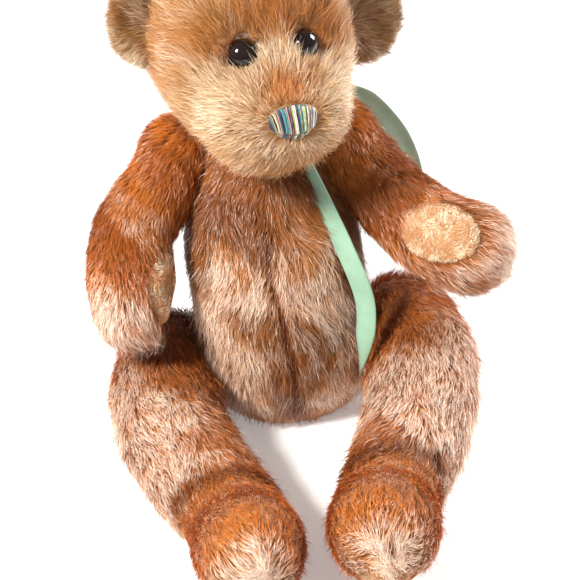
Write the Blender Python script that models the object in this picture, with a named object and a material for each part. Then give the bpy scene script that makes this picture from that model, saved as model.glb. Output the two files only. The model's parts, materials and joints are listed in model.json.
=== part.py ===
"""Jointed plush teddy bear, sitting, with a ribbon round its neck.

Metres, +Z up. The bear faces -Y and its own left side is +X. The origin is the middle of the flat
underside that it sits on. Every plush cover is a thin shell round its own stuffing. Neck, shoulders
and hips are plastic disc joints: a disc with a post in the limb, a washer and a lock in the torso.
"""
import math

import bmesh
import bpy
from mathutils import Matrix, Vector

MM = 0.001

# fabric and clearances
COVER = 1.2 * MM              # thickness of plush backing, and of the velvet pads
GAP = 0.3 * MM                # between pieces that touch
JOINT_GAP = 0.6 * MM          # between the two flat faces of a disc joint
SIDES = 22                    # points round each soft ring
ROUND = 16                    # points round each turned piece

# torso: (distance up the body, half width, half depth, belly shift forward)
TORSO_LEAN = math.radians(12)
TORSO_ROWS = [(-5, 18, 15, -2), (0, 23, 20, -2), (7, 30, 26, -1), (17, 35, 31, 0.5),
              (33, 38, 34.5, 2), (50, 38, 35, 3), (68, 36, 33, 3), (84, 32.5, 29.5, 2),
              (98, 28.5, 26, 1), (110, 23.5, 22, 0), (119, 18.5, 18.5, 0), (127, 15.5, 16, 0),
              (136, 14, 15, 0)]
NECK = Vector((0, 27.4, 129)) * MM

# head: (distance forward, half width, top, bottom), above and in front of the neck
HEAD_ROWS = [(-31, 16, 47, 16), (-25, 24.5, 58, 7), (-14, 32, 66.5, -1), (-1, 35.5, 69.5, -4),
             (10, 35.5, 68, -6), (20, 33.5, 61, -6.5), (28, 30.5, 52, -6.5), (34, 27, 42.5, -6.5),
             (40, 24, 33.5, -6), (46, 20.5, 27.5, -3.5), (52, 14.5, 23, 1)]
HEAD_BACK = (-34, 34)         # the poles that close the skull and the muzzle: forward, up
HEAD_FRONT = (57, 13)
HEAD_TURN = math.radians(17)
HEAD_TILT = math.radians(8)

EYE_R = 5.6 * MM
EYE_AT = (12, 34.5, 36.5)       # sideways, forward, up from the neck
NOSE_AT = (0, 53, 16.5)
NOSE_HALF = (9.8, 5.6)
EAR_AT = {1: (46.5, 3, 31), -1: (33, 3, 43.5)}   # the left ear is sewn lower and further out
EAR_TURN = {1: 0.05, -1: 0.35}                # how far each ear faces sideways
EAR_HALF = (16, 20)
FABRIC_HOLE = 3.4 * MM
FACE_REACH = 26 * MM          # how far round its joint a limb is kept flat

# limbs: spine point x, y, z and radius, for the bear's left side
LEG_ROWS = [(48, 4, 25.5, 20.5), (52, -18, 23, 21.5), (49, -42, 22, 20.5), (41, -65, 20.5, 19.5),
            (32, -85, 20, 18), (27, -102, 22.5, 19), (25, -115, 27, 20.5), (23.5, -124, 34, 19.5)]
LEFT_ARM_ROWS = [(31.5, 23, 109.5, 14.4), (37, 18, 100, 14.5), (49, 6, 86.5, 15), (62, -6, 76.5, 16.5),
                 (75, -15, 72.5, 16.5)]
RIGHT_ARM_ROWS = [(31.5, 23.5, 112, 14.6), (38.5, 18, 102, 14.5), (53, 6, 90, 15.2), (57, -8, 76, 16.5),
                  (58, -17, 68.6, 14)]

# joints: where the limb leaves the torso, and the way its axis points
HIP = Vector((33, 2, 27)) * MM
SHOULDER = Vector((21.8, 22, 107.5)) * MM
SHOULDER_RISE = math.radians(20)

POST_R = 3.0 * MM
DISC = 2.0 * MM               # thickness of the plastic discs
LOCK = 0.8 * MM
DISC_R = {"neck": 10.5, "shoulder": 8.3, "hip": 11}
WASHER_R = {"neck": 9.5, "shoulder": 7.5, "hip": 10}

# ribbon: x, y, z, width, and the direction its width runs in
RIBBON = 0.5 * MM             # ribbon thickness
KNOT_AT = (23.8, 35, 126.4)
LOOP_ROWS = [(27.5, 37, 127.5, 3, (0, 1, 0.3)), (31, 38, 129.5, 6, (0, 1, 0.2)),
             (36, 38, 129.5, 7, (0, 1, 0)), (39, 37, 126.5, 7, (0, 1, 0)),
             (36.5, 36.5, 123.8, 6, (0, 1, 0)), (32, 36.5, 123.2, 4, (0, 1, 0)),
             (28, 36.5, 125, 3, (0, 1, 0.2))]
FRONT_TAIL_ROWS = [(15, 5, 120, 4, (1, 0.2, 0)), (17.5, 2, 111, 6.5, (0.9, 0.4, 0)),
                   (21, -5, 98, 8, (0.7, 0.7, 0)), (26.5, -14, 80, 8.5, (0.55, 0.8, 0)),
                   (31, -22, 60, 9, (0.5, 0.85, 0)), (28.5, -29, 44, 7, (0.6, 0.8, 0)),
                   (24, -32, 31, 2, (0.6, 0.8, 0))]
BACK_TAIL_ROWS = [(27.5, 41.5, 121.5, 5, (0.5, 0, 0.8)), (37, 43, 116, 12, (0.8, -0.1, 0.5)),
                  (46, 43.5, 106, 16, (0.85, 0, 0.5)), (54, 44, 92, 16, (0.9, 0, 0.4)),
                  (58, 44.5, 78, 15, (0.95, 0, 0.2)), (60, 45, 64, 13, (1, 0, 0))]


# ---------------------------------------------------------------- materials

def make_material(name, colour, roughness, metallic=0.0):
    material = bpy.data.materials.new(name)
    material.use_nodes = True
    shader = material.node_tree.nodes["Principled BSDF"]
    shader.inputs["Base Color"].default_value = (*colour, 1.0)
    shader.inputs["Roughness"].default_value = roughness
    shader.inputs["Metallic"].default_value = metallic
    return material


COLOURS = {
    "plush": ((0.52, 0.22, 0.07), 0.8),
    "head_plush": ((0.60, 0.33, 0.14), 0.8),
    "stuffing": ((0.90, 0.89, 0.85), 0.95),
    "velvet": ((0.80, 0.50, 0.28), 0.7),
    "eye": ((0.02, 0.012, 0.01), 0.08),
    "thread": ((0.25, 0.40, 0.42), 0.55),
    "joint": ((0.88, 0.88, 0.86), 0.45),
    "ribbon": ((0.36, 0.58, 0.42), 0.5),
}


# ---------------------------------------------------------------- solids

def clear_scene():
    for item in list(bpy.data.objects):
        bpy.data.objects.remove(item, do_unlink=True)


def new_object(name, mesh_maker, slot=None):
    """An object whose mesh is filled in by mesh_maker; without a slot it is a cutter."""
    mesh = bpy.data.meshes.new(name)
    body = bmesh.new()
    mesh_maker(body)
    bmesh.ops.recalc_face_normals(body, faces=body.faces)
    body.to_mesh(mesh)
    body.free()
    item = bpy.data.objects.new(name, mesh)
    bpy.context.scene.collection.objects.link(item)
    if slot is None:
        item.hide_render = True
        item.display_type = "WIRE"
    else:
        mesh.materials.append(bpy.data.materials[slot])
        mesh.shade_smooth()
        mesh.set_sharp_from_angle(angle=math.radians(40))
    return item


def boolean(item, cutter, operation="DIFFERENCE"):
    change = item.modifiers.new(operation.title(), "BOOLEAN")
    change.operation = operation
    change.object = cutter
    change.solver = "EXACT"


def bridge_rings(body, rings, start, end):
    """Skin a list of point rings and close both ends with a point each."""
    loops = [[body.verts.new(point) for point in ring] for ring in rings]
    count = len(loops[0])
    for lower, upper in zip(loops, loops[1:]):
        for i in range(count):
            j = (i + 1) % count
            body.faces.new((lower[i], lower[j], upper[j], upper[i]))
    for loop, point in ((loops[0], start), (loops[-1], end)):
        pole = body.verts.new(point)
        for i in range(count):
            body.faces.new((loop[i], loop[(i + 1) % count], pole))


def oval(centre, across, up, half_across, half_up, count=SIDES):
    points = []
    for i in range(count):
        turn = 2 * math.pi * i / count
        points.append(centre + across * (half_across * math.cos(turn)) + up * (half_up * math.sin(turn)))
    return points


def cut_flat(body, point, outward):
    """Slice away what lies beyond a plane and close the cut."""
    everything = body.verts[:] + body.edges[:] + body.faces[:]
    cut = bmesh.ops.bisect_plane(body, geom=everything, plane_co=point, plane_no=outward,
                                 clear_outer=True)
    edges = [piece for piece in cut["geom_cut"] if isinstance(piece, bmesh.types.BMEdge)]
    bmesh.ops.holes_fill(body, edges=edges, sides=0)
    bmesh.ops.triangulate(body, faces=[face for face in body.faces if len(face.verts) > 4])


def frame_along(axis, across=Vector((0, 1, 0))):
    """A matrix whose Z axis is the given one."""
    z = axis.normalized()
    x = (across - z * across.dot(z)).normalized()
    y = z.cross(x)
    return Matrix((x, y, z)).transposed().to_4x4()


def turned(name, profile, place, slot=None, ring=False, count=ROUND):
    """A turned piece from (radius, height) points; a ring's profile closes on itself."""
    def build(body):
        loops = []
        for radius, height in profile:
            centre = Vector((0, 0, height))
            points = oval(centre, Vector((1, 0, 0)), Vector((0, 1, 0)), radius, radius, count)
            loops.append([body.verts.new(place @ point) for point in points])
        pairs = list(zip(loops, loops[1:]))
        if ring:
            pairs.append((loops[-1], loops[0]))
        for lower, upper in pairs:
            for i in range(count):
                j = (i + 1) % count
                body.faces.new((lower[i], lower[j], upper[j], upper[i]))
        if not ring:
            body.faces.new(loops[0])
            body.faces.new(list(reversed(loops[-1])))
    return new_object(name, build, slot)


def rod(name, place, radius, low, high):
    return turned(name, [(radius, low), (radius, high)], place)


def oval_rod(name, place, half_across, half_up, low, high, count=20):
    def build(body):
        rings = []
        for height in (low, high):
            points = oval(Vector((0, 0, height)), Vector((1, 0, 0)), Vector((0, 1, 0)),
                          half_across, half_up, count)
            rings.append([body.verts.new(place @ point) for point in points])
        for i in range(count):
            j = (i + 1) % count
            body.faces.new((rings[0][i], rings[0][j], rings[1][j], rings[1][i]))
        body.faces.new(rings[0])
        body.faces.new(list(reversed(rings[1])))
    return new_object(name, build)


# ---------------------------------------------------------------- soft shapes

def torso_shape(shrink):
    """The torso's egg, cut flat for the seat, the neck, the shoulders and the hips."""
    lean = Matrix.Rotation(-TORSO_LEAN, 3, "X")

    def build(body):
        rings = []
        for up, width, depth, belly in TORSO_ROWS:
            centre = lean @ Vector((0, -belly, up)) * MM
            rings.append(oval(centre, Vector((1, 0, 0)), lean @ Vector((0, 1, 0)),
                              width * MM - shrink, depth * MM - shrink))
        start = lean @ Vector((0, 0, TORSO_ROWS[0][0] - 3)) * MM
        end = lean @ Vector((0, 0, TORSO_ROWS[-1][0] + 3)) * MM
        bridge_rings(body, rings, start, end)
        down, up = Vector((0, 0, -1)), Vector((0, 0, 1))
        cut_flat(body, Vector((0, 0, shrink)), down)
        cut_flat(body, NECK - up * shrink, up)
        for side in (1, -1):
            for point, axis in (shoulder_frame(side), hip_frame(side)):
                cut_flat(body, point - axis * shrink, axis)
    return build


def head_turn():
    return Matrix.Rotation(HEAD_TURN, 3, "Z") @ Matrix.Rotation(HEAD_TILT, 3, "Y")


def head_point(sideways, forward, up):
    """A point of the head, from the neck, in the way the head is turned and tilted."""
    middle = Vector((0, 0, 30)) * MM
    offset = Vector((sideways, -forward, up)) * MM - middle
    return NECK + middle + head_turn() @ offset


def head_direction(sideways, forward, up):
    return (head_turn() @ Vector((sideways, -forward, up))).normalized()


def head_shape(shrink):
    """Skull and muzzle in one skin of ovals from back to front, cut flat at the neck."""
    across, upward = head_direction(1, 0, 0), head_direction(0, 0, 1)
    inset = shrink / MM

    def build(body):
        rings = []
        for forward, width, top, bottom in HEAD_ROWS:
            centre = head_point(0, forward, (top + bottom) / 2)
            rings.append(oval(centre, across, upward, width * MM - shrink,
                              (top - bottom) / 2 * MM - shrink))
        start = head_point(0, HEAD_BACK[0] + inset, HEAD_BACK[1])
        end = head_point(0, HEAD_FRONT[0] - inset, HEAD_FRONT[1])
        bridge_rings(body, rings, start, end)
    return build


def smooth_spine(rows, steps):
    """Catmull-Rom points and radii through the spine rows."""
    points = [Vector(row[:3]) * MM for row in rows]
    radii = [row[3] * MM for row in rows]
    points = [points[0] * 2 - points[1]] + points + [points[-1] * 2 - points[-2]]
    radii = [radii[0]] + radii + [radii[-1]]
    result = []
    for k in range(1, len(points) - 2):
        for step in range(steps):
            t = step / steps
            result.append((catmull(points[k - 1:k + 3], t), catmull(radii[k - 1:k + 3], t)))
    result.append((points[-2], radii[-2]))
    return result


def catmull(values, t):
    before, start, end, after = values
    return (start * 2 + (end - before) * t + (before * 2 - start * 5 + end * 4 - after) * t ** 2
            + (start * 3 - before - end * 3 + after) * t ** 3) * 0.5


def limb_rings(rows, side, shrink):
    """Rings along the limb with a rounded cap at each end, and the two end points."""
    spine = smooth_spine(rows, 1 if len(rows) > 6 else 2)
    spine = [(Vector((point.x * side, point.y, point.z)), radius) for point, radius in spine]
    first = (spine[0][0] - spine[1][0]).normalized()
    last = (spine[-1][0] - spine[-2][0]).normalized()
    caps = (math.radians(25), math.radians(52))
    rings = []
    along = -first
    across = Vector((1, 0, 0))
    for angle in reversed(caps):
        rings.append((spine[0][0] + first * (spine[0][1] - shrink) * math.sin(angle),
                      (spine[0][1] - shrink) * math.cos(angle), along))
    for index, (point, radius) in enumerate(spine):
        ahead = spine[min(index + 1, len(spine) - 1)][0] - spine[max(index - 1, 0)][0]
        rings.append((point, radius - shrink, ahead.normalized()))
    for angle in caps:
        rings.append((spine[-1][0] + last * (spine[-1][1] - shrink) * math.sin(angle),
                      (spine[-1][1] - shrink) * math.cos(angle), last))
    loops = []
    for centre, radius, direction in rings:
        across = (across - direction * across.dot(direction)).normalized()
        loops.append(oval(centre, across, direction.cross(across), radius, radius, 20))
    start = spine[0][0] + first * (spine[0][1] - shrink)
    end = spine[-1][0] + last * (spine[-1][1] - shrink)
    return loops, start, end


def limb_shape(rows, side, shrink):
    loops, start, end = limb_rings(rows, side, shrink)

    def build(body):
        bridge_rings(body, loops, start, end)
    return build


def jointed_solid(name, shape, joint, shrink, slot=None):
    """A limb or the head, with a flat round face at its disc joint."""
    item = new_object(name, shape(shrink), slot)
    face_cut = rod(name + "_face", joint_place(joint), FACE_REACH + shrink, -40 * MM, JOINT_GAP + shrink)
    boolean(item, face_cut)
    return item


# ---------------------------------------------------------------- joints

def shoulder_frame(side):
    axis = Vector((side * math.cos(SHOULDER_RISE), 0, math.sin(SHOULDER_RISE)))
    return Vector((side * SHOULDER.x, SHOULDER.y, SHOULDER.z)), axis


def hip_frame(side):
    return Vector((side * HIP.x, HIP.y, HIP.z)), Vector((side, 0, 0))


def neck_frame():
    return NECK.copy(), Vector((0, 0, 1))


def joint_place(joint):
    point, axis = joint
    return Matrix.Translation(point) @ frame_along(axis)


def make_joint(name, kind, joint):
    """The three plastic pieces of one joint. Height 0 is the torso's flat face."""
    place = joint_place(joint)
    disc_low = JOINT_GAP + COVER + GAP
    disc_high = disc_low + DISC
    washer_high = -COVER - GAP
    washer_low = washer_high - DISC
    lock_high = washer_low - GAP
    lock_low = lock_high - LOCK
    post_low = lock_low - 1.5 * MM
    hole = POST_R + GAP
    disc_r, washer_r = DISC_R[kind] * MM, WASHER_R[kind] * MM
    turned(name + "_joint_stem", [(POST_R * 0.8, post_low), (POST_R, post_low + 0.6 * MM),
                                  (POST_R, disc_low), (disc_r, disc_low), (disc_r, disc_high)],
           place, "joint")
    washer_outline = [(hole, washer_low), (washer_r, washer_low),
                      (washer_r, washer_high), (hole, washer_high)]
    lock_outline = [(hole, lock_low), (POST_R * 2, lock_low),
                    (POST_R * 2, lock_high), (hole, lock_high)]
    turned(name + "_joint_washer", washer_outline, place, "joint", ring=True)
    turned(name + "_joint_lock", lock_outline, place, "joint", ring=True)


def limb_pocket(name, kind, joint):
    """Room in the limb's stuffing for its disc."""
    return rod(name, joint_place(joint), DISC_R[kind] * MM + 0.5 * MM, -5 * MM,
               JOINT_GAP + COVER + GAP * 2 + DISC)


def torso_pocket(name, kind, joint):
    """Room in the torso's stuffing for the washer, the lock and the post's end."""
    depth = COVER + DISC + LOCK + 3.2 * MM
    return rod(name, joint_place(joint), WASHER_R[kind] * MM + 0.5 * MM, -depth, 5 * MM)


# ---------------------------------------------------------------- assemblies

LIMB_PIECES = ["_cover", "_stuffing", "_joint_stem", "_joint_lock"]
HEAD_PIECES = ["head_cover", "head_stuffing", "ear_left", "ear_right", "eye_left", "eye_right",
               "eye_washer_left", "eye_washer_right", "nose", "neck_joint_stem", "neck_joint_lock"]


def make_cover(name, slot, solid, joints):
    """A plush shell round the space for its stuffing, with a hole at each joint."""
    cover = solid(name, 0, slot)
    boolean(cover, solid(name + "_hollow", COVER))
    for index, joint in enumerate(joints):
        boolean(cover, rod(f"{name}_hole_{index}", joint_place(joint), FABRIC_HOLE, -6 * MM, 6 * MM))
    return cover


def make_stuffing(name, solid, pockets):
    stuffing = solid(name, COVER + GAP, "stuffing")
    for pocket in pockets:
        boolean(stuffing, pocket)
    return stuffing


def make_torso():
    joints = [("neck", neck_frame())]
    joints += [("shoulder", shoulder_frame(side)) for side in (1, -1)]
    joints += [("hip", hip_frame(side)) for side in (1, -1)]

    def solid(name, shrink, slot=None):
        return new_object(name, torso_shape(shrink), slot)

    make_cover("torso_cover", "plush", solid, [joint for kind, joint in joints])
    pockets = [torso_pocket(f"torso_pocket_{index}", kind, joint)
               for index, (kind, joint) in enumerate(joints)]
    make_stuffing("torso_stuffing", solid, pockets)
    make_joint("neck", "neck", neck_frame())


def make_limb(name, rows, side, kind, joint, pad):
    """Cover, stuffing, pad and joint of an arm or a leg; pad is (place, half widths, reach)."""
    def shape(shrink):
        return limb_shape(rows, side, shrink)

    def solid(piece, shrink, slot=None):
        return jointed_solid(piece, shape, joint, shrink, slot)

    pad_name, place, half_across, half_up, reach = pad
    cover = make_cover(name + "_cover", "plush", solid, [joint])
    boolean(cover, oval_rod(pad_name + "_opening", place, half_across, half_up, 0, reach))
    make_stuffing(name + "_stuffing", solid, [limb_pocket(name + "_pocket", kind, joint)])
    panel = new_object(pad_name, shape(0), "velvet")
    outline = oval_rod(pad_name + "_outline", place, half_across - GAP, half_up - GAP, 0.5 * MM, reach)
    boolean(panel, outline, "INTERSECT")
    boolean(panel, new_object(pad_name + "_hollow", shape(COVER)))
    make_joint(name, kind, joint)


def make_arms():
    """The left hand is held out with its pad up and forward, the right pad faces the body."""
    left_pad = frame_along(Vector((0.05, -0.84, 0.54)), Vector((0.86, -0.35, -0.2)))
    left_pad = Matrix.Translation(Vector((63, -7, 77)) * MM) @ left_pad
    right_pad = frame_along(Vector((0.97, -0.25, 0.1)), Vector((0, -0.6, -0.8)))
    right_pad = Matrix.Translation(Vector((-57, -11, 74)) * MM) @ right_pad
    make_limb("arm_left", LEFT_ARM_ROWS, 1, "shoulder", shoulder_frame(1),
              ("paw_pad_left", left_pad, 15.5 * MM, 11.5 * MM, 26 * MM))
    make_limb("arm_right", RIGHT_ARM_ROWS, -1, "shoulder", shoulder_frame(-1),
              ("paw_pad_right", right_pad, 14.5 * MM, 11 * MM, 26 * MM))


def make_legs():
    """The pads are the soles, which face forward."""
    for side, word in ((1, "left"), (-1, "right")):
        sole = frame_along(Vector((-0.12 * side, -0.9, -0.28)), Vector((0, -0.28, 0.9)))
        sole = Matrix.Translation(Vector((25.5 * side, -112, 24)) * MM) @ sole
        make_limb("leg_" + word, LEG_ROWS, side, "hip", hip_frame(side),
                  ("foot_pad_" + word, sole, 17 * MM, 12.5 * MM, 40 * MM))


def make_eye(side, word):
    """A safety eye: dome and stem in one, with its washer inside the head."""
    point = head_point(side * EYE_AT[0], EYE_AT[1], EYE_AT[2])
    outward = head_direction(side * 0.33, 0.9, 0.25)
    place = Matrix.Translation(point) @ frame_along(outward, Vector((1, 0, 0)))
    seat = -0.8 * MM
    dome = [(1.7 * MM, -8 * MM), (1.7 * MM, seat)]
    for step in range(6):
        angle = math.radians(-12 + step * 19)
        dome.append((EYE_R * math.cos(angle), seat + 1.2 * MM + 4.4 * MM * math.sin(angle)))
    turned("eye_" + word, dome, place, "eye")
    turned("eye_washer_" + word, [(2 * MM, -5.4 * MM), (5 * MM, -5.4 * MM), (5 * MM, -4.4 * MM),
                                  (2 * MM, -4.4 * MM)], place, "joint", ring=True)
    socket = turned("eye_socket_" + word, [(2 * MM, -9 * MM), (2 * MM, seat - GAP),
                                           (EYE_R + GAP, seat - GAP), (EYE_R + GAP, 14 * MM)], place)
    washer_room = rod("eye_room_" + word, place, EYE_R + GAP * 2, -9 * MM, 10 * MM)
    return socket, washer_room


def make_ear(side, word):
    """A padded half-round flap, hollowed a little at the front, sewn to the head's side."""
    sideways, forward, up = EAR_AT[side]
    centre = head_point(side * sideways, forward, up)
    facing = head_direction(side * EAR_TURN[side], 0.9, 0.1)
    outward = head_direction(side * 0.93, -0.3, 0.35)
    across = (outward - facing * outward.dot(facing)).normalized()
    upward = facing.cross(across)

    def build(body):
        rings = []
        for depth, share in ((-4.4, 0.55), (-3.2, 0.86), (0, 1.0), (3.0, 0.9)):
            rings.append(oval(centre + facing * depth * MM, across, upward,
                              EAR_HALF[0] * share * MM, EAR_HALF[1] * share * MM, 20))
        inner = oval(centre + facing * 2.2 * MM, across, upward, EAR_HALF[0] * 0.6 * MM,
                     EAR_HALF[1] * 0.6 * MM, 20)
        rings.append(inner)
        bridge_rings(body, rings, centre - facing * 5 * MM, centre + facing * 1.4 * MM)
    ear = new_object("ear_" + word, build, "head_plush")
    boolean(ear, new_object("ear_trim_" + word, head_shape(-GAP)))


def make_nose():
    """A pad of satin stitches on the muzzle."""
    place = Matrix.Translation(head_point(*NOSE_AT)) @ frame_along(head_direction(0, 0.86, 0.5),
                                                                 head_direction(1, 0, 0))
    nose = new_object("nose", head_shape(-2.0 * MM), "thread")
    boolean(nose, oval_rod("nose_outline", place, NOSE_HALF[0] * MM, NOSE_HALF[1] * MM, -8 * MM, 12 * MM),
            "INTERSECT")
    boolean(nose, new_object("nose_under", head_shape(-GAP)))


def make_head():
    def solid(name, shrink, slot=None):
        return jointed_solid(name, head_shape, neck_frame(), shrink, slot)

    cover = make_cover("head_cover", "head_plush", solid, [neck_frame()])
    stuffing = make_stuffing("head_stuffing", solid, [limb_pocket("head_pocket", "neck", neck_frame())])
    for side, word in ((1, "left"), (-1, "right")):
        socket, washer_room = make_eye(side, word)
        boolean(cover, socket)
        boolean(stuffing, washer_room)
        make_ear(side, word)
    make_nose()


# ---------------------------------------------------------------- ribbon

def strip(name, points, directions, widths, closed=False):
    """A flat ribbon: each cross-section runs along its direction, its thickness across it."""
    def build(body):
        count = len(points)
        loops = []
        for index, (point, direction, width) in enumerate(zip(points, directions, widths)):
            before = points[index - 1] if closed or index else point
            after = points[(index + 1) % count] if closed or index < count - 1 else point
            along = (after - before).normalized()
            flat = (direction - along * direction.dot(along)).normalized()
            thick = along.cross(flat) * RIBBON / 2
            half = flat * width * MM / 2
            corners = (point - half - thick, point + half - thick, point + half + thick,
                       point - half + thick)
            loops.append([body.verts.new(corner) for corner in corners])
        pairs = list(zip(loops, loops[1:]))
        if closed:
            pairs.append((loops[-1], loops[0]))
        else:
            body.faces.new(loops[0])
            body.faces.new(list(reversed(loops[-1])))
        for lower, upper in pairs:
            for i in range(4):
                j = (i + 1) % 4
                body.faces.new((lower[i], lower[j], upper[j], upper[i]))
    return new_object(name, build, "ribbon")


def spread(rows, steps=4):
    """Smooth points with a width, from rows of x, y, z, width."""
    result = smooth_spine(rows, steps)
    return [point for point, width in result], [width / MM for point, width in result]


def make_ribbon():
    """Loose round the neck, knotted at the bear's left, with one loop and two tails."""
    count = 40
    band, ups = [], []
    for i in range(count):
        turn = 2 * math.pi * i / count
        rise = 126.2 + 0.4 * math.cos(turn)
        band.append(Vector((0.5 + 19.6 * math.cos(turn), 27.8 + 20.5 * math.sin(turn), rise)) * MM)
        ups.append(Vector((0, 0, 1)))
    strip("ribbon_band", band, ups, [4.0] * count, closed=True)
    ribbon_piece("ribbon_loop", LOOP_ROWS)
    ribbon_piece("ribbon_tail_front", FRONT_TAIL_ROWS)
    ribbon_piece("ribbon_tail_back", BACK_TAIL_ROWS)
    place = Matrix.Translation(Vector(KNOT_AT) * MM) @ frame_along(Vector((0.8, -0.2, 0.3)))
    turned("ribbon_knot", [(1.4 * MM, -3 * MM), (2.6 * MM, -1.8 * MM), (3 * MM, 0), (2.6 * MM, 1.8 * MM),
                           (1.4 * MM, 3 * MM)], place, "ribbon", count=12)


def ribbon_piece(name, rows):
    """A ribbon through rows of x, y, z, width and the direction of its width."""
    points, widths = spread(rows)
    turns = smooth_spine([(*row[4], 0) for row in rows], 4)
    strip(name, points, [turn for turn, unused in turns], widths)


def hang_on_joint(body, joint, pieces):
    """Parent the pieces of one moving body to an empty whose Z axis is the joint's axis."""
    axle = bpy.data.objects.new(body + "_axle", None)
    bpy.context.scene.collection.objects.link(axle)
    axle.matrix_world = joint_place(joint)
    for piece in pieces:
        item = bpy.data.objects[piece]
        item.parent = axle
        item.matrix_parent_inverse = joint_place(joint).inverted()


def hang_bodies():
    for side, word in ((1, "left"), (-1, "right")):
        for limb, pad, joint in (("arm_", "paw_pad_", shoulder_frame(side)),
                                 ("leg_", "foot_pad_", hip_frame(side))):
            pieces = [limb + word + ending for ending in LIMB_PIECES]
            hang_on_joint(limb + word, joint, pieces + [pad + word])
    hang_on_joint("head", neck_frame(), HEAD_PIECES)


def make_all():
    clear_scene()
    for name, (colour, roughness) in COLOURS.items():
        make_material(name, colour, roughness)
    make_torso()
    make_head()
    make_arms()
    make_legs()
    make_ribbon()
    hang_bodies()


make_all()
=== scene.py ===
import json
import math

import bpy
import numpy as np
from mathutils import Matrix, Vector
from mathutils.bvhtree import BVHTree
from mathutils.kdtree import KDTree

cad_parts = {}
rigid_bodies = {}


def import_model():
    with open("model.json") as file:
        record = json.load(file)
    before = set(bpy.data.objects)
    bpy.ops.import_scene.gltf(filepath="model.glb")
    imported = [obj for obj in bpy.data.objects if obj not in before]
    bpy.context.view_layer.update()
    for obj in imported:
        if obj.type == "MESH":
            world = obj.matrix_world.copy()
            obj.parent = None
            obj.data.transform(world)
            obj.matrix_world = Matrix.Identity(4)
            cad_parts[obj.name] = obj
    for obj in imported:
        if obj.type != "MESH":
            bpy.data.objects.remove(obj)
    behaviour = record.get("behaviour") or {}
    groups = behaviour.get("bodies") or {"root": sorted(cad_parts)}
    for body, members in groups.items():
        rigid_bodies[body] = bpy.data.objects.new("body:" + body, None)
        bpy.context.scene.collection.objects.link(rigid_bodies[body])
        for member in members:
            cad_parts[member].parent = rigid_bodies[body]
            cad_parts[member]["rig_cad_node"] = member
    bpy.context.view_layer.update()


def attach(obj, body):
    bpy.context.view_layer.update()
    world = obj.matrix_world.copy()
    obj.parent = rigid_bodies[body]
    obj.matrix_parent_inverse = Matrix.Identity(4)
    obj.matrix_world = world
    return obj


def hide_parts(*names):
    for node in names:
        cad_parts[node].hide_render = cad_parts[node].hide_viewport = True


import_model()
scene = bpy.context.scene

MM = 0.001
SKIN_LIFT = 1.1               # least height of a skin over its stuffing, mm
SWELL = 1.8                   # most that a skin may swell, mm
GROUND = 0.0002               # lowest that anything soft reaches, m
RIM_COVER = 1.2               # height of the head's skin over the stuffing round the eyes, mm
TALLEST = 7.0                 # most that a strand's tip stands off the skin, mm

NECK = Vector((0, 27.4, 129))             # middle of the neck's disc joint, mm
SHOULDER = (21.8, 22, 107.5)              # middle of a shoulder's disc joint, mm
SHOULDER_TILT = math.radians(20)          # slope of the torso's side at the shoulder
HIP = (33, 2, 27)                         # middle of a hip's disc joint, mm
EYE_AT = (12, 34.5, 36.5)
EAR_AT = {1: (46.5, 3, 31), -1: (33, 3, 43.5)}
NOSE_AT = (0, 53, 16.5)

SIDES = (1, "left"), (-1, "right")
EYE_PLACES = EYE_AT[0], -EYE_AT[0]
TORSO_STRANDS, HEAD_STRANDS, EAR_STRANDS, ARM_STRANDS, LEG_STRANDS = 39000, 39500, 15000, 32000, 39500

# middle lines of the limbs, from the joint to the paw, mm
LEG_LINE = [(40, 12, 26), (48, 4, 25.5), (52, -18, 23), (49, -42, 22), (41, -65, 20.5), (32, -85, 20),
            (27, -102, 22.5), (25, -115, 27)]
LEFT_ARM_LINE = [(24, 25, 115), (31.5, 23, 109.5), (37, 18, 100), (49, 6, 86.5), (62, -6, 76.5),
                 (75, -15, 72.5)]
RIGHT_ARM_LINE = [(-24, 25, 117), (-31.5, 23.5, 112), (-38.5, 18, 102), (-53, 6, 90), (-57, -8, 76),
                  (-58, -17, 68.6)]


# -------------------- places on the bear

def head_turn():
    return Matrix.Rotation(math.radians(17), 3, "Z") @ Matrix.Rotation(math.radians(8), 3, "Y")


def head_point(sideways, forward, up):
    middle = Vector((0, 0, 30))
    return NECK + middle + head_turn() @ (Vector((sideways, -forward, up)) - middle)


def head_direction(sideways, forward, up):
    return (head_turn() @ Vector((sideways, -forward, up))).normalized()


def to_head(points):
    """World mm to the head's own sideways, forward and up, measured from the neck."""
    middle = np.array((0, 0, 30.0))
    turned = (points - np.array(NECK) - middle) @ np.array(head_turn())
    turned += middle
    return turned[:, 0], -turned[:, 1], turned[:, 2]


def frame_along(axis, hint):
    """Rotation whose Z is axis and whose X is as near hint as it can be."""
    z = axis.normalized()
    x = (hint - z * hint.dot(z)).normalized()
    return Matrix((x, z.cross(x), z)).transposed()


def add_object(name, data):
    item = bpy.data.objects.new(name, data)
    scene.collection.objects.link(item)
    return item


def tree_of(item):
    """The item's surface, for rays and nearest points."""
    return BVHTree.FromObject(item, bpy.context.evaluated_depsgraph_get())


# -------------------- arrays

def unit(vectors):
    return vectors / np.maximum(np.linalg.norm(vectors, axis=1, keepdims=True), 1e-9)


def flatten_on(vectors, normals):
    """The part of each vector that lies in the surface."""
    return unit(vectors - normals * np.sum(vectors * normals, axis=1, keepdims=True))


def smooth(x, low, high):
    t = np.clip((x - low) / (high - low), 0, 1)
    return t * t * (3 - 2 * t)


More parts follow.
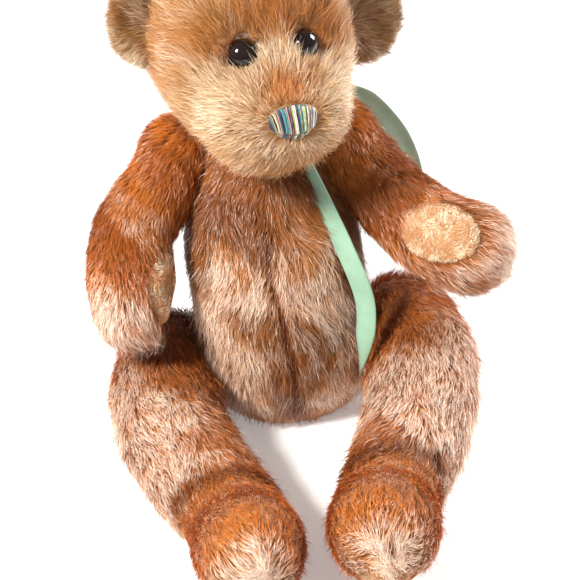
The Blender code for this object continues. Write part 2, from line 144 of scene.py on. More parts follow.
class Waves:
    """Smooth random values in space, from a few seeded sine waves."""

    def __init__(self, seed, length, count=14):
        draw = np.random.default_rng(seed)
        self.ways = unit(draw.normal(size=(count, 3))) * (2 * math.pi / length)
        self.ways *= draw.uniform(0.6, 1.7, (count, 1))
        self.shifts = draw.uniform(0, 2 * math.pi, count)
        self.scale = math.sqrt(2 / count)

    def __call__(self, points):
        return np.sin(points @ self.ways.T + self.shifts).sum(axis=1) * self.scale


def read_rows(items, key):
    flat = np.empty(len(items) * 3)
    items.foreach_get(key, flat)
    return flat.reshape(-1, 3)


def read_points(mesh):
    return read_rows(mesh.vertices, "co")


def write_points(mesh, points):
    mesh.vertices.foreach_set("co", points.ravel())
    mesh.update()


def read_normals(mesh):
    return read_rows(mesh.vertex_normals, "vector")


# -------------------- materials

def put(inputs, values):
    for name, value in values.items():
        inputs[name].default_value = value


class Shader:
    """A node material round one Principled shader."""

    def __init__(self, name, roughness=0.6, sheen=0.0, sheen_roughness=0.5, sheen_tint=None):
        self.material = bpy.data.materials.new(name)
        self.material.use_nodes = True
        self.nodes = self.material.node_tree.nodes
        self.links = self.material.node_tree.links
        self.main = self.nodes["Principled BSDF"]
        put(self.main.inputs, {"Roughness": roughness, "Sheen Weight": sheen,
                               "Sheen Roughness": sheen_roughness})
        if sheen_tint:
            put(self.main.inputs, {"Sheen Tint": (*sheen_tint, 1)})
        self.place = self.add("ShaderNodeTexCoord").outputs["Object"]

    def add(self, kind, **values):
        node = self.nodes.new(kind)
        for name, value in values.items():
            setattr(node, name, value)
        return node

    def join(self, source, target):
        self.links.new(source, target)

    def feed(self, value, socket):
        """Give a socket a number, a colour or another node's output."""
        if isinstance(value, (int, float)):
            socket.default_value = value
        elif isinstance(value, tuple):
            socket.default_value = (*value, 1)
        else:
            self.join(value, socket)

    def noise(self, scale, detail=3, stretch=None, roughness=0.55):
        node = self.add("ShaderNodeTexNoise")
        put(node.inputs, {"Scale": scale, "Detail": detail, "Roughness": roughness})
        if stretch:
            mapping = self.add("ShaderNodeMapping")
            put(mapping.inputs, {"Scale": stretch})
            self.join(self.place, mapping.inputs["Vector"])
            self.join(mapping.outputs["Vector"], node.inputs["Vector"])
        else:
            self.join(self.place, node.inputs["Vector"])
        return node.outputs["Fac"]

    def ramp(self, value, *stops):
        node = self.add("ShaderNodeValToRGB")
        elements = node.color_ramp.elements
        while len(elements) < len(stops):
            elements.new(0.5)
        for element, (position, colour) in zip(elements, stops):
            element.position = position
            element.color = (*colour, 1)
        self.join(value, node.inputs["Fac"])
        return node.outputs["Color"]

    def mottled(self, dark, light, *args, **kind):
        """Noise that runs from a dark colour to a light one."""
        return self.ramp(self.noise(*args, **kind), (0.3, dark), (0.7, light))

    def attribute(self, name, output):
        return self.add("ShaderNodeAttribute", attribute_name=name).outputs[output]

    def mix(self, factor, first, second, blend="MIX"):
        node = self.add("ShaderNodeMix", data_type="RGBA", blend_type=blend)
        for value, place in ((factor, 0), (first, 6), (second, 7)):
            self.feed(value, node.inputs[place])
        return node.outputs[2]

    def colour(self, source):
        self.join(source, self.main.inputs["Base Color"])

    def bump(self, height, strength, distance):
        node = self.add("ShaderNodeBump")
        put(node.inputs, {"Strength": strength, "Distance": distance})
        self.join(height, node.inputs["Height"])
        self.join(node.outputs["Normal"], self.main.inputs["Normal"])

    def maths(self, operation, first, second=0.0):
        node = self.add("ShaderNodeMath", operation=operation)
        self.feed(first, node.inputs[0])
        self.feed(second, node.inputs[1])
        return node.outputs[0]


def fur_look():
    look = Shader("pile", roughness=0.36, sheen=0.05, sheen_roughness=0.4, sheen_tint=(1, 0.9, 0.8))
    tint = look.attribute("pile_colour", "Color")
    grain = look.mottled((0.82, 0.8, 0.78), (1.12, 1.1, 1.08), 900, 2)
    look.colour(look.mix(1.0, tint, grain, "MULTIPLY"))
    put(look.main.inputs, {"Specular IOR Level": 0.5})
    return look.material


def backing_look(name, dark, light):
    """The knitted backing that the pile grows from."""
    look = Shader(name, roughness=0.9, sheen=0.3)
    look.colour(look.mottled(dark, light, 260, 4))
    look.bump(look.noise(1500, 2), 0.5, 0.0004)
    return look.material


def velvet_look():
    look = Shader("velvet_nap", roughness=0.75, sheen=0.2, sheen_roughness=0.35, sheen_tint=(1, 0.93, 0.86))
    patches = look.ramp(look.noise(95, 5, roughness=0.62), (0.32, (0.4, 0.18, 0.075)),
                        (0.5, (0.5, 0.27, 0.13)), (0.68, (0.62, 0.39, 0.22)))
    fibres = look.mottled((0.84, 0.8, 0.78), (1.08, 1.06, 1.05), 2600, 2)
    look.colour(look.mix(1.0, patches, fibres, "MULTIPLY"))
    look.bump(look.noise(1900, 2), 0.35, 0.0003)
    return look.material


def eye_look():
    look = Shader("eye_gloss", roughness=0.06)
    put(look.main.inputs, {"Coat Weight": 0.5, "Coat Roughness": 0.03, "Specular IOR Level": 0.15})
    look.colour(look.mottled((0.006, 0.004, 0.004), (0.018, 0.01, 0.008), 180, 2))
    return look.material


def thread_look():
    look = Shader("embroidery_thread", roughness=0.38, sheen=0.3)
    tint = look.attribute("pile_colour", "Color")
    plies = look.mottled((0.7, 0.7, 0.7), (1.15, 1.15, 1.15), 1400, 2, (1, 1, 0.2))
    look.colour(look.mix(1.0, tint, plies, "MULTIPLY"))
    return look.material


def ribbon_look():
    """Sheer organza: a fine weave, see-through between its threads, with a dense woven edge."""
    look = Shader("organza", roughness=0.4, sheen=0.5, sheen_roughness=0.3, sheen_tint=(0.8, 1, 0.95))
    across = look.attribute("across", "Fac")
    along = look.attribute("along", "Fac")
    warp = look.maths("SINE", look.maths("MULTIPLY", across, 220.0))
    weft = look.maths("SINE", look.maths("MULTIPLY", along, 16000.0))
    weave = look.maths("MULTIPLY", look.maths("ADD", warp, weft), 0.25)
    edge = look.maths("GREATER_THAN", look.maths("ABSOLUTE", across), 0.86)
    cloudy = look.mottled((0.17, 0.34, 0.22), (0.3, 0.52, 0.36), 120, 3)
    shade = look.mix(look.maths("ADD", weave, 0.5), cloudy, (0.42, 0.66, 0.5))
    look.colour(look.mix(edge, shade, (0.36, 0.6, 0.47)))
    look.bump(weave, 0.3, 0.0002)
    put(look.main.inputs, {"Alpha": 0.88})
    return look.material


def plastic_look():
    look = Shader("moulded_plastic", roughness=0.5)
    look.colour(look.mottled((0.72, 0.71, 0.68), (0.84, 0.83, 0.8), 300, 3))
    look.bump(look.noise(1200, 2), 0.1, 0.0002)
    return look.material


def stuffing_look():
    look = Shader("fibre_fill", roughness=0.95, sheen=0.4)
    look.colour(look.mottled((0.62, 0.6, 0.56), (0.9, 0.89, 0.86), 220, 6, roughness=0.7))
    look.bump(look.noise(420, 6, roughness=0.7), 0.8, 0.001)
    return look.material


# -------------------- padded skins

def new_piece(name, points, faces, material, body):
    mesh = bpy.data.meshes.new(name)
    mesh.from_pydata([tuple(point) for point in points], [], faces)
    mesh.materials.append(material)
    mesh.shade_smooth()
    mesh.update()
    item = add_object(name, mesh)
    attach(item, body)
    return item


def world_copy(node, name):
    """A copy of a CAD node's mesh in world metres, with its shape applied."""
    source = bpy.data.objects[node]
    mesh = source.data.copy()
    mesh.transform(source.matrix_world)
    return add_object(name, mesh)


def dress(item, material):
    item.data.materials.clear()
    item.data.materials.append(material)


def remesh(item, voxel):
    """Rebuild the item from even cells of voxel mm."""
    modifier = item.modifiers.new("Remesh", "REMESH")
    modifier.mode = "VOXEL"
    modifier.voxel_size = voxel * MM
    apply_all(item)


def apply_all(item):
    """Bake the item's modifiers into its mesh."""
    bpy.context.view_layer.update()
    graph = bpy.context.evaluated_depsgraph_get()
    mesh = bpy.data.meshes.new_from_object(item.evaluated_get(graph))
    item.modifiers.clear()
    item.data = mesh


def swell(item, cap):
    """Blow the skin up like a stuffed cover, each point moving no more than cap."""
    start = read_points(item.data)
    cloth = item.modifiers.new("Cloth", "CLOTH")
    cloth.settings.use_pressure = True
    cloth.settings.uniform_pressure_force = 4
    cloth.settings.effector_weights.gravity = 0
    for step in range(1, 21):
        scene.frame_set(step)
    graph = bpy.context.evaluated_depsgraph_get()
    moved = read_points(item.evaluated_get(graph).data) - start
    item.modifiers.clear()
    scene.frame_set(1)
    length = np.linalg.norm(moved, axis=1, keepdims=True)
    moved *= np.minimum(1, cap / np.maximum(length, 1e-9))
    write_points(item.data, start + moved)


def keep_outside(item, inner, lift):
    """Hold every point at least lift above the stuffing."""
    points = read_points(item.data)
    for index, point in enumerate(points):
        near, normal, face, distance = inner.find_nearest(Vector(point))
        height = (Vector(point) - near).dot(normal)
        if height < lift:
            points[index] = np.array(Vector(point) + normal * (lift - height))
    write_points(item.data, points)


def make_skin(name, cover, stuffing, body, material, joint=None):
    """A cloth skin blown up round one stuffing. joint is its disc joint's point and axis, mm."""
    skin = world_copy(stuffing, name)
    inner = tree_of(skin)
    remesh(skin, 4)
    swell(skin, SWELL * MM)
    keep_outside(skin, inner, SKIN_LIFT * MM)
    finer = skin.modifiers.new("Finer", "SUBSURF")
    finer.levels = 1
    apply_all(skin)
    keep_outside(skin, inner, SKIN_LIFT / 2 * MM)
    if joint:
        point, axis = np.array(joint[0]) * MM, np.array(joint[1])
        points = read_points(skin.data)
        depth = (points - point) @ axis - 0.4 * MM
        near = np.linalg.norm(points - point, axis=1) < 26 * MM
        points -= np.where(near & (depth < 0), depth, 0)[:, None] * axis
        write_points(skin.data, points)
    points = read_points(skin.data)
    points[:, 2] = np.maximum(points[:, 2], GROUND)
    write_points(skin.data, points)
    dress(skin, material)
    skin.data.shade_smooth()
    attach(skin, body)
    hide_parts(cover)
    return skin


# -------------------- pile

class Line:
    """A limb's middle line, which gives a direction and a share along it near any point."""

    def __init__(self, points):
        knots = np.array(points, float)
        fine = []
        for start, end in zip(knots, knots[1:]):
            fine += [start + (end - start) * share for share in np.linspace(0, 1, 12, endpoint=False)]
        self.points = np.array(fine + [knots[-1]])
        self.ways = unit(np.gradient(self.points, axis=0))
        for turn in range(6):
            self.ways[1:-1] = unit(self.ways[:-2] + self.ways[1:-1] * 2 + self.ways[2:])

    def __call__(self, points):
        gaps = ((points[:, None, :] - self.points[None, :, :]) ** 2).sum(axis=2)
        nearest = gaps.argmin(axis=1)
        return self.ways[nearest], nearest / (len(self.points) - 1)


def scatter(mesh, count, weight, draw):
    """Roots spread over a mesh by area and weight; returns points in mm and their normals."""
    mesh.calc_loop_triangles()
    corners = np.empty(len(mesh.loop_triangles) * 3, dtype=np.int32)
    mesh.loop_triangles.foreach_get("vertices", corners)
    corners = corners.reshape(-1, 3)
    points, normals = read_points(mesh) / MM, read_normals(mesh)
    a, b, c = (points[corners[:, i]] for i in range(3))
    areas = np.linalg.norm(np.cross(b - a, c - a), axis=1) / 2
    areas *= weight((a + b + c) / 3, unit(normals[corners].mean(axis=1)))
    chosen = draw.choice(len(areas), count, p=areas / areas.sum())
    first, second = draw.random(count), draw.random(count)
    fold = first + second > 1
    first[fold], second[fold] = 1 - first[fold], 1 - second[fold]
    shares = np.stack([1 - first - second, first, second], axis=1)[:, :, None]
    picked = corners[chosen]
    return (points[picked] * shares).sum(axis=1), unit((normals[picked] * shares).sum(axis=1))


def clump(roots, tips, draw, size, pull):
    """Move the tips of neighbouring strands together, as pile gathers into locks."""
    count = max(8, int(len(roots) / size))
    leaders = draw.choice(len(roots), count, replace=False)
    tree = KDTree(count)
    for index, leader in enumerate(leaders):
        tree.insert(roots[leader], index)
    tree.balance()
    owner = np.array([leaders[tree.find(point)[1]] for point in roots])
    return tips + (tips[owner] - tips) * (pull * draw.uniform(0.4, 1, len(roots)))[:, None]


def blades(name, roots, normals, ways, lengths, heights, widths, colours, material, body, draw,
           levels=(0, 0.33, 0.68, 1), locks=(26, 0.3)):
    """Tapered strands that leave the skin, lie over and end in a point.
    colours holds one colour per level for each strand."""
    count = len(roots)
    tips = roots + ways * lengths[:, None] + normals * heights[:, None]
    tips = clump(roots, tips, draw, *locks)
    spin = draw.normal(0, 0.5, count)[:, None]
    across = np.cross(normals, ways)
    across = across * np.cos(spin) + normals * np.sin(spin)
    sway = across * draw.normal(0, 0.05, count)[:, None] * lengths[:, None]
    rows = len(levels)
    points = np.empty((count, rows, 2, 3))
    for row, share in enumerate(levels):
        rise = normals * (heights * (1 - (1 - share) ** 2.2))[:, None]
        forward = (tips - roots - normals * heights[:, None]) * share ** 1.15
        middle = roots + forward + rise + sway * math.sin(share * math.pi)
        half = across * (widths * 0.5 * (1 - share ** 2.2) * (0.75 if share == 0 else 1))[:, None]
        points[:, row, 0] = middle - half
        points[:, row, 1] = middle + half
    body_points = points[:, :-1].reshape(count, -1, 3)
    each = (rows - 1) * 2 + 1
    vertices = np.concatenate([body_points, points[:, -1:, 0]], axis=1) * MM
    vertices[:, :, 2] = np.maximum(vertices[:, :, 2], GROUND)
    quads = rows - 2
    pattern = []
    for row in range(quads):
        pattern += [row * 2, row * 2 + 1, row * 2 + 3, row * 2 + 2]
    pattern += [each - 3, each - 2, each - 1]
    sizes = np.tile(np.array([4] * quads + [3]), count)
    corners = (np.array(pattern)[None, :] + np.arange(count)[:, None] * each).ravel()
    mesh = bpy.data.meshes.new(name)
    mesh.vertices.add(count * each)
    mesh.vertices.foreach_set("co", vertices.ravel())
    mesh.loops.add(len(corners))
    mesh.loops.foreach_set("vertex_index", corners.astype(np.int32))
    mesh.polygons.add(len(sizes))
    mesh.polygons.foreach_set("loop_start", np.concatenate([[0], np.cumsum(sizes)[:-1]]).astype(np.int32))
    mesh.update(calc_edges=True)
    mesh.shade_smooth()
    tint(mesh, np.repeat(colours, [2] * (rows - 1) + [1], axis=1).reshape(-1, 3))
    lay_out_strands(mesh, corners, count, each, rows)
    mesh.materials.append(material)
    item = add_object(name, mesh)
    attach(item, body)
    return item


def tint(mesh, shades):
    """Keep a colour for each vertex, which the pile and thread materials read."""
    shades = np.concatenate([shades, np.ones((len(shades), 1))], axis=1)
    layer = mesh.color_attributes.new("pile_colour", "FLOAT_COLOR", "POINT")
    layer.data.foreach_set("color", shades.ravel())


def lay_out_strands(mesh, corners, count, each, rows):
    """Give each strand a cell of its own in the UV square."""
    side = math.ceil(math.sqrt(count))
    strand = corners // each
    spot = corners % each
    tip = spot == each - 1
    u = np.where(tip, 0.5, 0.2 + 0.6 * (spot % 2))
    v = 0.12 + 0.76 * np.where(tip, 1, (spot // 2) / (rows - 1))
    layer = mesh.uv_layers.new(name="OFBake")
    grid = np.stack([(strand % side + u) / side, (strand // side + v) / side], axis=1)
    layer.data.foreach_set("uv", grid.ravel())


def paint(draw, root, middle, tip, frost, frost_share, levels=(0, 0.33, 0.68, 1)):
    """Colours along each strand. The more frost_share is, the more and paler the frosted tips."""
    count = len(root)
    shade = draw.uniform(0.78, 1.15, count)[:, None]
    frosted = np.clip(frost_share * 1.8 - draw.uniform(0, 0.95, count), 0, 1)[:, None]
    tips = tip * (1 - frosted) + frost * frosted
    lows = middle * (1 - frosted * 0.75) + frost * frosted * 0.75
    rows = []
    # Each strand starts at the root colour, which the styles make darker than the middle as painted shade
    # deep in the pile.
    for share in levels:
        if share < 0.34:
            rows.append((root + (middle - root) * share / 0.34) * shade)
        elif share < 0.7:
            rows.append((middle + (lows - middle) * (share - 0.34) / 0.36) * shade)
        else:
            rows.append(tips * shade)
    return np.stack(rows, axis=1)


def mixed(share, low, high):
    """A colour between low and high for each share; either may be one colour or many."""
    low, high = np.atleast_2d(low), np.atleast_2d(high)
    return low + (high - low) * np.clip(share, 0, 1)[:, None]


# linear colours of the pile
RUST = np.array((0.13, 0.026, 0.004))
CINNAMON = np.array((0.27, 0.07, 0.01))
COPPER = np.array((0.54, 0.16, 0.02))
APRICOT = np.array((0.64, 0.23, 0.045))
GOLD = np.array((0.62, 0.26, 0.065))
TAN = np.array((0.64, 0.33, 0.12))
STRAW = np.array((0.84, 0.57, 0.3))
CREAM = np.array((0.97, 0.82, 0.62))
FROST = np.array((1.0, 0.93, 0.84))

DOWN = np.array((0, 0, -1.0))
drift = Waves(3, 34), Waves(4, 34), Waves(5, 34)
patch = Waves(11, 42)
fleck = Waves(12, 13)


def wander(points, normals, ways, amount):
    """Turn the lie of the pile a little, smoothly from place to place."""
    push = np.stack([wave(points) for wave in drift], axis=1)
    return flatten_on(ways + push * amount, normals)


def gap_to(points, centre):
    return np.linalg.norm(points - np.array(centre), axis=1)


def grow(name, skin, body, count, seed, weight, style, width=0.25, levels=(0, 0.3, 0.66, 1),
         locks=(34, 0.42), mess=0.22, guard=0.08):
    """Cover a skin with pile. style gives ways, lengths, heights and the five colour terms.
    guard is the share of long pale hairs that stand out of it."""
    draw = np.random.default_rng(seed)
    roots, normals = scatter(skin.data, count, weight, draw)
    ways, lengths, heights, root, middle, tip, frost, share = style(roots, normals)
    ways = flatten_on(ways + draw.normal(0, mess, ways.shape), normals)
    lengths = lengths * draw.uniform(0.7, 1.15, count)
    heights = heights * draw.uniform(0.55, 1.3, count)
    widths = width * draw.uniform(0.7, 1.25, count)
    long = draw.random(count) < guard
    lengths = np.where(long, lengths * 1.25, lengths)
    heights = np.where(long, heights * draw.uniform(1.5, 2.6, count), heights)
    heights = np.minimum(heights, TALLEST)
    widths = np.where(long, widths * 0.8, widths)
    share = np.where(long, np.clip(share * 1.7, 0.15, 0.9), share)
    colours = paint(draw, root, middle, tip, frost, share, levels)
    return blades(name, roots - normals * 0.3, normals, ways, lengths, heights, widths, colours,
                  fur, body, draw, levels, locks)


def torso_style(points, normals):
    x, y, z = points.T
    front = smooth(-normals[:, 1], -0.1, 0.6)
    bend = 1.2 * np.sin(z / 17)
    seam = np.exp(-((x - bend) / 1.25) ** 2) * front * smooth(z, 8, 20) * (1 - smooth(z, 84, 96))
    ways = np.tile(DOWN, (len(points), 1))
    ways[:, 0] += 0.2 * x / 30 + np.tanh((x - bend) / 2) * np.exp(-np.abs(x - bend) / 5) * front * 0.55
    ways = wander(points, normals, ways, 0.2)
    low = front * (1 - smooth(z, 64, 100)) * smooth(z, 6, 22)
    spot = smooth(patch(points), -0.25, 0.4)
    frost = np.clip(low * (0.3 + 0.7 * spot) + front * smooth(np.abs(x), 14, 26) * 0.5 * spot, 0, 1)
    # Painted shade under the chin: the top of the torso front turns darker cinnamon, with fewer frosted
    # tips.
    under_chin_painted_shade = front * smooth(z, 84, 104)
    middle = mixed(spot * 0.8, np.array((0.27, 0.085, 0.018)), np.array((0.52, 0.19, 0.04)))
    middle = mixed(frost * 0.7, middle, GOLD * 1.1)
    middle = mixed(under_chin_painted_shade * 0.6, middle, CINNAMON)
    middle = mixed(seam * 0.9, middle, RUST * 1.1)
    share = (0.1 + 0.62 * frost + 0.12 * fleck(points)) * (1 - seam * 0.85) * (1 - under_chin_painted_shade * 0.5)
    lengths = 8.0 - 3.2 * seam
    heights = 2.5 - 1.7 * seam
    # The root colour, middle * 0.4, is painted shade deep in the pile.
    return ways, lengths, heights, middle * 0.4, middle, middle * 1.25, FROST, share


def head_style(points, normals):
    side, forward, up = to_head(points)
    nose = np.array(head_point(*NOSE_AT))
    ways = unit(points - nose)
    ways[:, 2] -= 0.35 * smooth(8 - up, 0, 14)
    back = smooth(-forward, -6, 20)
    ways += back[:, None] * np.array((0, 0.2, -1.2))
    ways = wander(points, normals, ways, 0.2)
    muzzle = np.exp(-((side / 21) ** 2 + ((up - 15) / 15) ** 2)) * smooth(forward, 26, 40)
    bridge = np.exp(-((side / 10) ** 2 + ((up - 32) / 4.5) ** 2)) * smooth(forward, 24, 34)
    above = np.exp(-((side / 9) ** 2 + ((up - 24.5) / 4) ** 2)) * smooth(forward, 34, 44)
    brow = np.exp(-((side / 15) ** 2 + ((up - 50) / 14) ** 2)) * smooth(forward, 4, 22)
    eyes = sum(np.exp(-(((side - place) / 8) ** 2 + ((up - EYE_AT[2] - 1) / 9) ** 2)) for place in (-15, 15))
    eyes = np.clip(eyes * smooth(forward, 14, 28), 0, 1) * (1 - bridge)
    cheek = smooth(np.abs(side), 20, 30) * smooth(forward, -4, 16)
    fan = np.exp(-(((np.abs(side) - 17) / 9) ** 2 + ((up - 22) / 9) ** 2)) * smooth(forward, 14, 30)
    chin = smooth(10 - up, 0, 14) * smooth(forward, 10, 30)
    middle = mixed(smooth(patch(points), -1, 1), GOLD * 0.8, TAN * 0.8)
    middle = mixed(cheek * 0.6, middle, GOLD * 0.7)
    middle = mixed(np.maximum(np.maximum(muzzle * 0.4, fan * 0.7), bridge * 0.9), middle, STRAW)
    # Painted shade under the chin: the pile there is darker apricot.
    middle = mixed(chin * 0.7, middle, APRICOT * 0.75)
    middle = mixed(np.maximum(brow, eyes) * 0.95, middle, COPPER * np.array((0.95, 1.05, 1.1)))
    middle = mixed(above * 1.0, middle, APRICOT)
    # The root colour is painted shade deep in the pile.
    root = middle * np.array((0.5, 0.34, 0.22))
    share = 0.26 + 0.25 * muzzle + 0.45 * fan + 0.5 * bridge - 0.2 * np.maximum(brow, eyes) - 0.3 * above
    # Fewer frosted tips under the chin, as part of its painted shade.
    share += 0.14 * fleck(points) - 0.12 * chin - 0.1 * cheek
    near_nose = 1 - smooth(gap_to(points, nose), 9, 20)
    near_eye = sum(1 - smooth(gap_to(points, head_point(place, *EYE_AT[1:])), 7, 12)
                   for place in EYE_PLACES)
    short = np.clip(near_nose * 0.6 + near_eye * 0.7, 0, 0.78)
    lengths = (10.5 + 3.5 * chin) * (1 - short)
    heights = (4.6 + 0.6 * chin) * (1 - short * 0.8)
    below = sum(np.exp(-(((side - place) / 5) ** 2 + ((up - EYE_AT[2] + 7) / 3.5) ** 2))
                for place in EYE_PLACES)
    heights = heights * (1 - 0.55 * np.clip(below, 0, 1))
    return ways, lengths, heights, root, middle, middle * 1.18, CREAM, share


def limb_style(line, kind):
    def style(points, normals):
        ways, share = line(points)
        ways = wander(points, normals, ways + DOWN * 0.12, 0.2)
        top = smooth(normals[:, 2], 0.1, 0.8)
        outer = smooth(np.sign(points[:, 0]) * normals[:, 0], -0.1, 0.7)
        spot = smooth(patch(points), -0.15, 0.35)
        reach = -points[:, 1]
        if kind == "leg":
            foot = smooth(reach, 84, 94)
            toe = smooth(reach, 114, 124) * smooth(-normals[:, 1], 0.2, 0.8)
            # Painted shade in the ankle crease: a band of darker rust pile without frosted tips.
            crease = np.exp(-((reach - 84) / 4.5) ** 2) * smooth(normals[:, 2], -0.3, 0.5)
            shin = smooth(reach, 18, 44) * (1 - smooth(reach, 70, 84))
            frost = shin * (0.25 + 0.75 * spot) + outer * 0.8 * (1 - foot) * smooth(reach, 0, 20) + toe * 0.9
            frost = np.clip(frost, 0.04, 1) * (1 - crease)
            middle = mixed(spot, CINNAMON * 1.7, COPPER * 1.1)
            middle = mixed(foot * 0.9, middle, COPPER * 1.15)
            middle = mixed(frost * 0.75, middle, GOLD * 1.3)
            # The ankle crease's painted shade.
            middle = mixed(crease * 0.85, middle, RUST * 1.2)
            lengths = 8.0 - 3.4 * foot * (1 - toe)
            heights = 2.9 - 1.3 * foot * (1 - toe)
        else:
            hand = smooth(share, 0.78, 1.0)
            frost = np.clip(hand * 0.5 + 0.35 * spot * smooth(share, 0.3, 0.6), 0.03, 0.8)
            middle = mixed(spot, CINNAMON * 1.6, COPPER * 1.15)
            middle = mixed(frost * 0.7, middle, GOLD)
            lengths = 5.4 + 2.8 * hand
            heights = 2.2 + 0.7 * hand
        share = np.clip(frost * 0.95 + 0.03 + 0.08 * fleck(points), 0.02, 0.92)
        # The root colour, middle * 0.4, is painted shade deep in the pile.
        return ways, lengths, heights, middle * 0.4, middle, middle * 1.25, FROST, share
    return style


def ear_style(side):
    def style(points, normals):
        sideways, forward, up = EAR_AT[side]
        centre = np.array(head_point(side * (sideways - 10), forward, up - 6))
        ways = wander(points, normals, unit(points - centre) + DOWN * 0.1, 0.15)
        middle = mixed(smooth(patch(points), -1, 1), GOLD * 0.6, TAN * 0.65)
        share = np.full(len(points), 0.3) + 0.16 * fleck(points)
        lengths = np.full(len(points), 7.0)
        # The root colour, middle * 0.4, is painted shade deep in the pile.
        return ways, lengths, lengths * 0.34, middle * 0.4, middle, middle * 1.12, CREAM, share
    return style


def clear_of(spots):
    """A scatter weight that keeps the pile off round places: each is a centre and a radius in mm."""
    def weight(points, normals):
        return math.prod(smooth(gap_to(points, centre), radius - 1, radius + 0.6)
                         for centre, radius in spots)
    return weight


def joint_bare(point, axis, radius=17):
    """No pile on the flat face of a disc joint, where the pieces turn against each other."""
    point, axis = np.array(point), np.array(axis)

    def weight(points, normals):
        depth = (points - point) @ axis
        reach = np.linalg.norm(points - point - depth[:, None] * axis, axis=1)
        face = (depth < 2.5) & (reach < radius) & (normals @ axis < -0.5)
        return np.where(face, 0.0, 1.0)
    return weight


def pad_bare(place, half_across, half_up):
    """Keep the pile off a pad; its frame's Z points out of the pad."""
    point, turn = np.array(place[0]), np.array(place[1])

    def weight(points, normals):
        local = (points - point) @ turn
        reach = np.sqrt((local[:, 0] / half_across) ** 2 + (local[:, 1] / half_up) ** 2)
        inside = (reach < 0.99) & (local[:, 2] > 0)
        return np.where(inside, 0.0, 1.0)
    return weight


def product(*weights):
    return lambda points, normals: math.prod(each(points, normals) for each in weights)


def underside(low, high, least):
    """Thinner pile near the ground, where it is flattened and unseen."""
    def weight(points, normals):
        under = smooth(-normals[:, 2], 0.5, 0.9) * (1 - smooth(points[:, 2], low, high))
        return 1 - under * (1 - least)
    return weight


# -------------------- pads, eyes, nose, ribbon

def make_pad(name, node, skin, place, half_across, half_up, body, seed):
    """A velvet panel that bulges between its seams, with a short nap of fibres."""
    point, turn = Vector(place[0]), place[1]
    inner = tree_of(skin)
    rings, spokes = 14, 56
    points, shares = [], []
    for ring in range(rings + 1):
        share = ring / rings
        for spoke in range(spokes if ring else 1):
            turned = 2 * math.pi * spoke / spokes
            flat = Vector((half_across * share * math.cos(turned), half_up * share * math.sin(turned), 45))
            start = point + turn @ flat
            hit, normal, face, distance = inner.ray_cast(start * MM, -(turn.col[2]).normalized())
            if hit is None:
                hit, normal, face, distance = inner.find_nearest(start * MM)
            bulge = 0.35 + 1.5 * (1 - share ** 4) ** 0.6 - 0.5 * smooth(np.array(share), 0.9, 1)
            points.append(hit / MM + turn.col[2] * float(bulge))
            shares.append(share)
    faces = [(0, 1 + i, 1 + (i + 1) % spokes) for i in range(spokes)]
    for ring in range(rings - 1):
        low, high = 1 + ring * spokes, 1 + (ring + 1) * spokes
        for i in range(spokes):
            j = (i + 1) % spokes
            faces.append((low + i, high + i, high + j, low + j))
    count = len(points)
    under = [p - turn.col[2] * 1.6 for p in points]
    faces += [tuple(count + v for v in reversed(face)) for face in faces]
    rim = 1 + (rings - 1) * spokes
    for i in range(spokes):
        j = (i + 1) % spokes
        faces.append((rim + i, count + rim + i, count + rim + j, rim + j))
    pad = new_piece(name, [p * MM for p in points + under], faces, velvet, body)
    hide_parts(node)
    grow_nap(name + "_nap", pad, turn, body, seed, math.pi * half_across * half_up)
    return pad


def grow_nap(name, pad, turn, body, seed, area):
    draw = np.random.default_rng(seed)
    axis = np.array(turn.col[2])

    def top_only(points, normals):
        return (normals @ axis > 0.15).astype(float) + 1e-9
    count = int(area * 6.5)
    roots, normals = scatter(pad.data, count, top_only, draw)
    swirl = Waves(21, 16), Waves(22, 16), Waves(23, 16)
    ways = np.stack([wave(roots) for wave in swirl], axis=1) + np.array(turn.col[0]) * 0.8
    ways = flatten_on(ways, normals)
    tone = smooth(Waves(31, 12)(roots) + 0.6 * Waves(32, 5)(roots), -1.2, 1.2)
    middle = mixed(tone, (0.72, 0.36, 0.15), (0.96, 0.76, 0.52))
    # The root colour, middle * 0.85, is painted shade deep in the nap.
    colours = paint(draw, middle * 0.85, middle, middle * 1.05, CREAM, np.full(count, 0.3), (0, 0.5, 1))
    lengths = draw.uniform(0.8, 1.5, count)
    return blades(name, roots, normals, ways, lengths, lengths * 0.45, np.full(count, 0.26), colours,
                  fur, body, draw, (0, 0.5, 1), (12, 0.25))


def ring_of(point, turn, radius, height, sides):
    angles = [2 * math.pi * side / sides for side in range(sides)]
    return [point + turn @ Vector((radius * math.cos(angle), radius * math.sin(angle), height))
            for angle in angles]


def ring_faces(rows, sides):
    """Faces of a closed form made of rows rings, with a flat cap at each end."""
    faces = []
    last = (rows - 1) * sides
    for low in range(0, last, sides):
        for i in range(sides):
            j = (i + 1) % sides
            faces.append((low + i, low + j, low + sides + j, low + sides + i))
    return faces + [tuple(reversed(range(sides))), tuple(range(last, last + sides))]


def make_eye(side, word):
    """A polished dome on its stem, smoothly turned."""
    point = head_point(side * EYE_AT[0], EYE_AT[1], EYE_AT[2])
    outward = head_direction(side * 0.33, 0.9, 0.25)
    turn = frame_along(outward, Vector((1, 0, 0)))
    profile = [(1.7, -8), (1.7, -0.9)]
    for step in range(17):
        angle = math.radians(-12 + step * 102 / 16)
        profile.append((max(5.6 * math.cos(angle), 0.02), 0.4 + 4.4 * math.sin(angle)))
    spokes = 48
    points = [v * MM for row in profile for v in ring_of(point, turn, *row, spokes)]
    eye = new_piece("eye_dome_" + word, points, ring_faces(len(profile), spokes), gloss, "head")
    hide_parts("eye_" + word)


